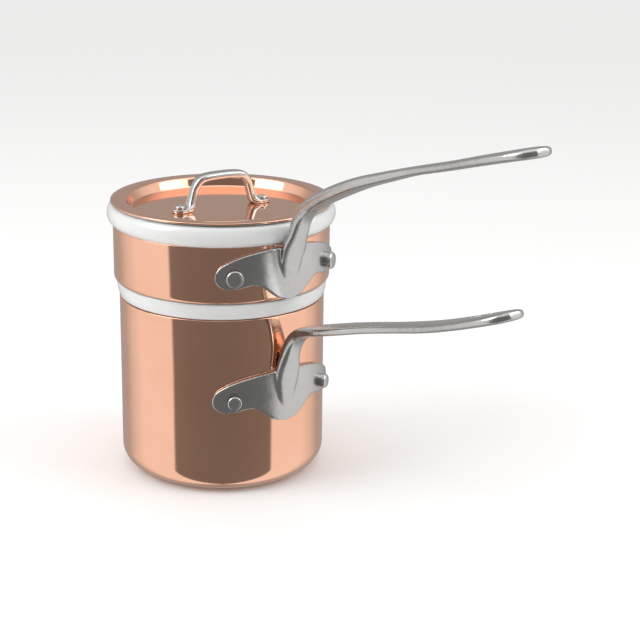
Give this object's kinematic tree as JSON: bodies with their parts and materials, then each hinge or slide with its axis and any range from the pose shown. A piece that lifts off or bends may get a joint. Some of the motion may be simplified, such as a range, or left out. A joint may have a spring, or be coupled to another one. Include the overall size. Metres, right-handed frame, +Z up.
{
  "type": "double boiler",
  "caption": "Copper water pan with a porcelain insert in a copper collar, a sunk copper lid with a steel bow handle, and long cast steel handles.",
  "frame": {"origin": "centre of the water pan's flat base, on the surface it stands on", "axes": "+Z up along the pan's axis, +X along both long handles towards their ends"},
  "size_m": [0.3287, 0.136, 0.2382],
  "materials": {
    "copper": "mirror-polished copper",
    "lining_steel": "satin stainless steel",
    "handle_steel": "polished cast stainless steel",
    "rivet_steel": "polished stainless steel",
    "porcelain": "glazed white porcelain"
  },
  "bodies": {
    "pan": {"water_pan": "copper", "water_pan_lining": "lining_steel", "pan_handle": "handle_steel", "pan_rivet_left": "rivet_steel", "pan_rivet_right": "rivet_steel"},
    "insert": {"porcelain_insert": "porcelain", "insert_collar": "copper", "insert_handle": "handle_steel", "insert_rivet_left": "rivet_steel", "insert_rivet_right": "rivet_steel"},
    "lid": {"lid_shell": "copper", "lid_lining": "lining_steel", "lid_handle": "handle_steel", "lid_rivet_left": "rivet_steel", "lid_rivet_right": "rivet_steel"}
  },
  "joints": [
    {"name": "insert_lift", "type": "slide", "parent": "pan", "child": "insert", "axis": [0, 0, 1], "range_m": [0, 0.1]},
    {"name": "lid_lift", "type": "slide", "parent": "insert", "child": "lid", "axis": [0, 0, 1], "range_m": [0, 0.08]}
  ]
}
